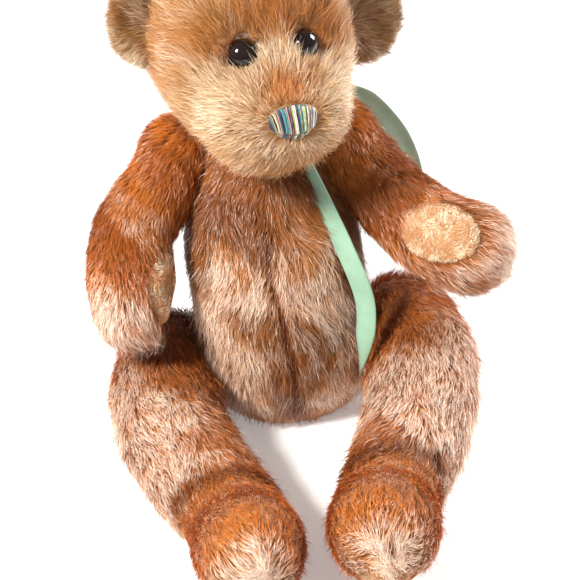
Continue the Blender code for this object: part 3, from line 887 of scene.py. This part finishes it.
def tube(points, radius, sides=6):
    """Vertices and faces of a round thread through points."""
    vertices = []
    count = len(points)
    for index, point in enumerate(points):
        way = (points[min(index + 1, count - 1)] - points[max(index - 1, 0)]).normalized()
        vertices += ring_of(point, frame_along(way, Vector((0.3, 1, 0.2))), radius, 0, sides)
    return vertices, ring_faces(count, sides)


THREADS = [(0.05, 0.26, 0.26), (0.08, 0.14, 0.32), (0.02, 0.03, 0.08), (0.85, 0.78, 0.6), (0.45, 0.5, 0.14),
           (0.4, 0.12, 0.07), (0.62, 0.28, 0.26), (0.7, 0.5, 0.3), (0.1, 0.36, 0.33), (0.9, 0.84, 0.7)]


def make_nose(skin):
    """Upright satin stitches side by side, longer in the middle so that they dip below."""
    facing = head_direction(0, 0.86, 0.5)
    turn = frame_along(facing, head_direction(1, 0, 0))
    centre = head_point(*NOSE_AT)
    core = world_copy("nose", "nose_trial")
    under = [tree_of(skin), tree_of(core)]
    bpy.data.objects.remove(core)
    draw = np.random.default_rng(77)
    vertices, faces, shades = [], [], []
    stitches = 30
    last = -1
    for stitch in range(stitches):
        across = (stitch + 0.5) / stitches * 2 - 1
        shade = last
        while shade == last:
            shade = int(draw.integers(len(THREADS)))
        last = shade
        top = 5.3 * (1 - abs(across) ** 3.2 * 0.5)
        low = -7.4 * (1 - abs(across) ** 1.9 * 0.6)
        path = []
        lean = draw.normal(0, 0.14)
        for step in range(11):
            share = step / 10
            flat = Vector((across * 9.6, top + (low - top) * share, 30))
            flat.x *= 1 - 0.2 * share
            flat.x += lean * math.sin(share * math.pi)
            start = (centre + turn @ flat) * MM
            hits = [tree.ray_cast(start, -facing)[0] for tree in under]
            hits = [hit for hit in hits if hit is not None] or [under[0].find_nearest(start)[0]]
            hit = max(hits, key=facing.dot)
            dome = math.sin(math.pi * min(max(share, 0.03), 0.97)) ** 0.5 * (1 - across * across * 0.6)
            path.append(hit / MM + facing * (0.3 + 0.7 * dome + draw.uniform(-0.1, 0.14)))
        made, sides = tube(path, draw.uniform(0.2, 0.29))
        start = len(vertices)
        vertices += [v * MM for v in made]
        faces += [tuple(start + v for v in face) for face in sides]
        tone = np.array(THREADS[shade]) * draw.uniform(0.65, 1.0)
        shades += [tone] * len(made)
    nose = new_piece("nose_stitches", vertices, faces, thread, "head")
    tint(nose.data, np.array(shades))


def smooth_rows(rows, steps):
    """Catmull-Rom values through rows of numbers."""
    rows = np.array(rows, float)
    padded = np.concatenate([[2 * rows[0] - rows[1]], rows, [2 * rows[-1] - rows[-2]]])
    result = []
    for index in range(1, len(padded) - 2):
        a, b, c, d = padded[index - 1:index + 3]
        for share in np.linspace(0, 1, steps, endpoint=False):
            result.append(0.5 * (2 * b + (c - a) * share + (2 * a - 5 * b + 4 * c - d) * share ** 2
                                 + (3 * b - a - 3 * c + d) * share ** 3))
    return np.array(result + [rows[-1]])


LOOP_ROWS = [(27.5, 37, 127.5, 3, 0, 1, 0.3), (31, 38, 129.5, 6, 0, 1, 0.2), (36, 38, 129.5, 7, 0, 1, 0),
             (39, 37, 126.5, 7, 0, 1, 0), (36.5, 36.5, 123.8, 6, 0, 1, 0), (32, 36.5, 123.2, 4, 0, 1, 0),
             (28, 36.5, 125, 3, 0, 1, 0.2)]
FRONT_TAIL_ROWS = [(15.5, 5, 120, 3.5, 1, 0.2, 0), (18, 2.8, 111, 4.2, 0.9, 0.4, 0),
                   (22, -3.6, 98, 4.6, 0.7, 0.7, 0), (28, -12.6, 80, 4.8, 0.55, 0.8, 0),
                   (33, -21.5, 60, 5, 0.5, 0.85, 0), (30.5, -29, 44, 4.5, 0.6, 0.8, 0),
                   (26.5, -32, 31, 1.2, 0.6, 0.8, 0)]
BACK_TAIL_ROWS = [(27.5, 41.5, 121.5, 5, 0.5, 0, 0.8), (37, 43, 116, 12, 0.8, -0.1, 0.5),
                  (46, 43.5, 106, 16, 0.85, 0, 0.5), (54, 44, 92, 16, 0.9, 0, 0.4),
                  (58, 44.5, 78, 15, 0.95, 0, 0.2), (60, 45, 64, 13, 1, 0, 0)]


RIBBON_WIDTH = 15.5            # the ribbon as it comes off the reel, mm


def pleats(width, flat_width, legs, columns):
    """Cross-section of a ribbon gathered from flat_width into width: across, and out of plane."""
    shares = np.linspace(-1, 1, columns)
    low, high = 0.0, 8.0
    for _ in range(24):
        depth = (low + high) / 2
        out = depth / 2 * np.cos(shares * math.pi * legs / 2)
        length = np.hypot(np.diff(shares * width / 2), np.diff(out)).sum()
        low, high = (depth, high) if length < flat_width else (low, depth)
    return shares * width / 2, out


def make_ribbon(name, node, rows, legs, closed=False, slant=0.0):
    """A thin woven strip along rows of x, y, z, width and the way its width runs, mm.
    The ribbon's full width is gathered into that many pleats. slant is the length of the
    slanting cut at its end, mm, which leaves a triangle out of the flat piece."""
    rows = smooth_rows(rows, 10)
    if closed:
        rows = rows[:-1]
    columns, thick = 33, 0.08
    count = len(rows)
    points, across, along = [], [], []
    course = np.vstack([rows, rows[:1] if closed else rows[-1:]])[:, :3]
    steps = np.linalg.norm(np.diff(course, axis=0), axis=1)
    length = steps.sum()
    travelled = 0.0
    for index, row in enumerate(rows):
        here = Vector(row[:3])
        after = Vector(rows[(index + 1) % count if closed else min(index + 1, count - 1)][:3])
        before = Vector(rows[index - 1 if closed or index else 0][:3])
        way = (after - before).normalized()
        flat = Vector(row[4:])
        flat = (flat - way * flat.dot(way)).normalized()
        out = way.cross(flat)
        left = max((length - travelled) / slant, 0.04) if slant else 1
        flat_width = RIBBON_WIDTH * min(left, 1)
        sides, depths = pleats(min(row[3], flat_width * 0.98), flat_width, legs, columns)
        slopes = np.stack([np.gradient(sides), np.gradient(depths)], axis=1)
        slopes = unit(slopes)
        for side in (1, -1):
            for column in range(columns):
                sideways = sides[column] - slopes[column, 1] * side * thick
                outward = depths[column] + slopes[column, 0] * side * thick
                points.append((here + flat * sideways + out * outward) * MM)
                across.append(column / (columns - 1) * 2 - 1)
                along.append(travelled / 1000)
        travelled += steps[index]
    faces = []
    ring = list(range(columns)) + list(range(2 * columns - 1, columns - 1, -1))
    for index in range(count if closed else count - 1):
        low, high = index * 2 * columns, (index + 1) % count * 2 * columns
        for i, start in enumerate(ring):
            end = ring[(i + 1) % len(ring)]
            faces.append((low + start, low + end, high + end, high + start))
    if not closed:
        last = (count - 1) * 2 * columns
        faces += [tuple(reversed(ring)), tuple(last + v for v in ring)]
    piece = new_piece(name, points, faces, organza, "torso")
    for label, values in (("across", across), ("along", along)):
        piece.data.attributes.new(label, "FLOAT", "POINT").data.foreach_set("value", values)
    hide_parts(node)
    return piece


def make_knot():
    """The knot: the ribbon's folds pulled into a small crumpled ball."""
    place = Vector((23.8, 35, 126.4))
    turn = frame_along(Vector((0.8, -0.2, 0.3)), Vector((0, 0, 1)))
    points = []
    rows, spokes = 16, 40
    for row in range(rows + 1):
        angle = math.pi * row / rows
        for spoke in range(spokes):
            turned = 2 * math.pi * spoke / spokes
            crease = 1 + 0.07 * math.cos(5 * turned + 1.3 * math.cos(angle)) * math.sin(angle)
            radius = max(3.0 * math.sin(angle), 0.03) * crease
            local = Vector((radius * math.cos(turned), radius * math.sin(turned), -3 * math.cos(angle)))
            points.append((place + turn @ local) * MM)
    knot = new_piece("knot", points, ring_faces(rows + 1, spokes), organza, "torso")
    for label in ("across", "along"):
        values = [point[2] * 20 for point in points]
        knot.data.attributes.new(label, "FLOAT", "POINT").data.foreach_set("value", values)
    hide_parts("ribbon_knot")
    return knot


# -------------------- the bear

fur, velvet, gloss, thread = fur_look(), velvet_look(), eye_look(), thread_look()
organza, plastic, filling = ribbon_look(), plastic_look(), stuffing_look()
body_backing = backing_look("body_backing", (0.3, 0.1, 0.025), (0.46, 0.18, 0.05))
felt = backing_look("nose_felt", (0.05, 0.03, 0.025), (0.13, 0.08, 0.06))
head_backing = backing_look("head_backing", (0.34, 0.15, 0.05), (0.5, 0.27, 0.11))

for item in [each for each in bpy.data.objects if "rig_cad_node" in each]:
    node = item["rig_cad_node"]
    look = filling if "stuffing" in node else plastic
    if "cover" in node or node.startswith("ear"):
        look = body_backing
    if node == "nose":
        look = felt
    dress(item, look)


def cover_eye_rims(skin):
    """Bring the skin in front of the stuffing round each eye, where the eye's seat has a sharp rim."""
    stuffing = world_copy("head_stuffing", "head_stuffing_trial")
    inner = tree_of(stuffing)
    bpy.data.objects.remove(stuffing)
    facing = Vector(head_direction(0, 1, 0))
    points = read_points(skin.data)
    side, forward, up = to_head(points / MM)
    for place in EYE_PLACES:
        reach = np.hypot(side - place, up - EYE_AT[2])
        for index in np.flatnonzero((reach > 4.5) & (reach < 11) & (forward > 15)):
            start = Vector(points[index]) + facing * 0.03
            hit, normal, face, distance = inner.ray_cast(start, -facing, 0.06)
            if hit is not None and distance < 0.03 + RIM_COVER * MM:
                points[index] = np.array(hit + facing * RIM_COVER * MM)
    write_points(skin.data, points)


def make_torso():
    skin = make_skin("torso_skin", "torso_cover", "torso_stuffing", "torso", body_backing)
    joints = [joint_bare((side * SHOULDER[0], *SHOULDER[1:]),
                         (-side * math.cos(SHOULDER_TILT), 0, -math.sin(SHOULDER_TILT)), 12)
              for side in (1, -1)]
    joints += [joint_bare((side * HIP[0], *HIP[1:]), (-side, 0, 0), 14) for side in (1, -1)]
    joints.append(joint_bare(tuple(NECK), (0, 0, -1), 15))
    back = lambda points, normals: 1 - 0.35 * smooth(points[:, 1], 20, 45)
    weight = product(*joints, underside(2, 14, 0.3), back)
    for part, seed in (("a", 101), ("b", 102)):
        grow("torso_pile_" + part, skin, "torso", TORSO_STRANDS, seed, weight, torso_style)
    return skin


def make_head():
    skin = make_skin("head_skin", "head_cover", "head_stuffing", "head", head_backing,
                     (tuple(NECK), (0, 0, 1)))
    cover_eye_rims(skin)
    spots = [(head_point(side * EYE_AT[0], EYE_AT[1] + 1, EYE_AT[2] - 1), 5.8) for side in (1, -1)]

    def off_nose(points, normals):
        local = (points - np.array(head_point(*NOSE_AT))) @ np.array(
            frame_along(head_direction(0, 0.86, 0.5), head_direction(1, 0, 0)))
        reach = np.sqrt((local[:, 0] / 9.4) ** 2 + (local[:, 1] / 5.3) ** 2)
        return np.where((reach < 1) & (local[:, 2] > -9), 0.0, 1.0)
    back = lambda points, normals: 1 - 0.4 * smooth(-to_head(points)[1], 0, 20)
    weight = product(clear_of(spots), off_nose, joint_bare(tuple(NECK), (0, 0, 1), 14), back)
    for part, seed in (("a", 201), ("b", 202)):
        grow("head_pile_" + part, skin, "head", HEAD_STRANDS, seed, weight, head_style, 0.2,
             locks=(40, 0.42), mess=0.34, guard=0.12)
    for side, word in SIDES:
        make_eye(side, word)
        ear = world_copy("ear_" + word, "ear_skin_" + word)
        remesh(ear, 1.6)
        dress(ear, head_backing)
        ear.data.shade_smooth()
        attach(ear, "head")
        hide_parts("ear_" + word)
        grow("ear_pile_" + word, ear, "head", EAR_STRANDS, 210 + side, lambda p, n: np.ones(len(p)),
             ear_style(side), 0.2, locks=(46, 0.5), mess=0.3, guard=0.09)
    make_nose(skin)


def make_limb(name, joint, line, kind, pad, count, seed):
    skin = make_skin(name + "_skin", name + "_cover", name + "_stuffing", name, body_backing, joint)
    pad_name, place, half_across, half_up = pad
    weight = product(joint_bare(*joint), pad_bare(place, half_across, half_up), underside(5, 14, 0.45))
    grow(name + "_pile", skin, name, count, seed, weight, limb_style(Line(line), kind))
    make_pad(pad_name + "_velvet", pad_name, skin, place, half_across, half_up, name, seed + 7)


def make_limbs():
    left = (Vector((63, -7, 77)), frame_along(Vector((0.05, -0.84, 0.54)), Vector((0.86, -0.35, -0.2))))
    right = (Vector((-57, -11, 74)), frame_along(Vector((0.97, -0.25, 0.1)), Vector((0, -0.6, -0.8))))
    for side, word, line, pad in ((1, "left", LEFT_ARM_LINE, (left, 15.5, 11.5)),
                                  (-1, "right", RIGHT_ARM_LINE, (right, 14.5, 11))):
        joint = ((side * SHOULDER[0], *SHOULDER[1:]),
                 (side * math.cos(SHOULDER_TILT), 0, math.sin(SHOULDER_TILT)))
        make_limb("arm_" + word, joint, line, "arm", ("paw_pad_" + word, *pad), ARM_STRANDS,
                  300 + side)
    for side, word in SIDES:
        sole = (Vector((25.5 * side, -112, 24)),
                frame_along(Vector((-0.12 * side, -0.9, -0.28)), Vector((0, -0.28, 0.9))))
        line = [(x * side, y, z) for x, y, z in LEG_LINE]
        make_limb("leg_" + word, ((side * HIP[0], *HIP[1:]), (side, 0, 0)), line, "leg",
                  ("foot_pad_" + word, sole, 17, 12.5), LEG_STRANDS, 400 + side)


def make_ribbons():
    band = []
    for step in range(41):
        turn = 2 * math.pi * step / 40
        band.append((0.5 + 19.6 * math.cos(turn), 27.8 + 20.5 * math.sin(turn),
                     126.2 + 0.4 * math.cos(turn), 4.0, 0, 0, 1))
    knot = make_knot()
    make_ribbon("band_organza", "ribbon_band", band, 6, closed=True)
    make_ribbon("loop_organza", "ribbon_loop", LOOP_ROWS, 6)
    make_ribbon("tail_front_organza", "ribbon_tail_front", FRONT_TAIL_ROWS, 2, slant=18)
    make_ribbon("tail_back_organza", "ribbon_tail_back", BACK_TAIL_ROWS, 4)


# -------------------- stage

def make_floor():
    mesh = bpy.data.meshes.new("floor")
    mesh.from_pydata([(-2, -2, 0), (2, -2, 0), (2, 2, 0), (-2, 2, 0)], [],
                     [(0, 1, 2, 3)])
    look = Shader("floor_paper", roughness=0.9)
    look.colour(look.mottled((0.9, 0.9, 0.9), (0.93, 0.93, 0.93), 6, 2))
    put(look.main.inputs, {"Emission Color": (1, 1, 1, 1), "Emission Strength": 0.28})
    mesh.materials.append(look.material)
    add_object("floor", mesh)


def make_light(name, place, aim, size, power, colour=(1, 1, 1)):
    light = bpy.data.lights.new(name, "AREA")
    light.shape = "RECTANGLE"
    light.size, light.size_y = size
    light.energy = power
    light.color = colour
    item = add_object(name, light)
    item.location = place
    item.rotation_euler = (Vector(aim) - Vector(place)).to_track_quat("-Z", "Y").to_euler()


def make_studio():
    world = bpy.data.worlds.new("studio")
    scene.world = world
    world.use_nodes = True
    put(world.node_tree.nodes["Background"].inputs, {"Color": (1, 1, 1, 1), "Strength": 0.26})
    scene.view_settings.view_transform = "Standard"
    make_light("window", (-0.5, -0.32, 0.75), (0, -0.02, 0.08), (0.2, 0.2), 15.5, (1, 0.96, 0.9))
    make_light("rim", (0.55, 0.2, 0.35), (0, 0, 0.1), (0.25, 0.25), 6)


def make_camera():
    elevation, roll, distance, width = math.radians(35), math.radians(8.5), 0.75, 0.232
    toward = Vector((0, -math.cos(elevation), math.sin(elevation)))
    right = Vector((1, 0, 0))
    up = toward.cross(right)
    across = right * math.cos(roll) - up * math.sin(roll)
    upward = up * math.cos(roll) + right * math.sin(roll)
    camera = bpy.data.cameras.new("camera")
    camera.sensor_width = 36
    camera.lens = 36 * distance / width
    camera.shift_x, camera.shift_y = 12 / 580, -10 / 580
    item = add_object("camera", camera)
    turn = Matrix((across, upward, toward)).transposed().to_4x4()
    item.matrix_world = Matrix.Translation(Vector((0, 0, 0.06)) + toward * distance) @ turn
    scene.camera = item


torso_skin = make_torso()
make_head()
make_limbs()
make_ribbons()
make_floor()
make_studio()
make_camera()
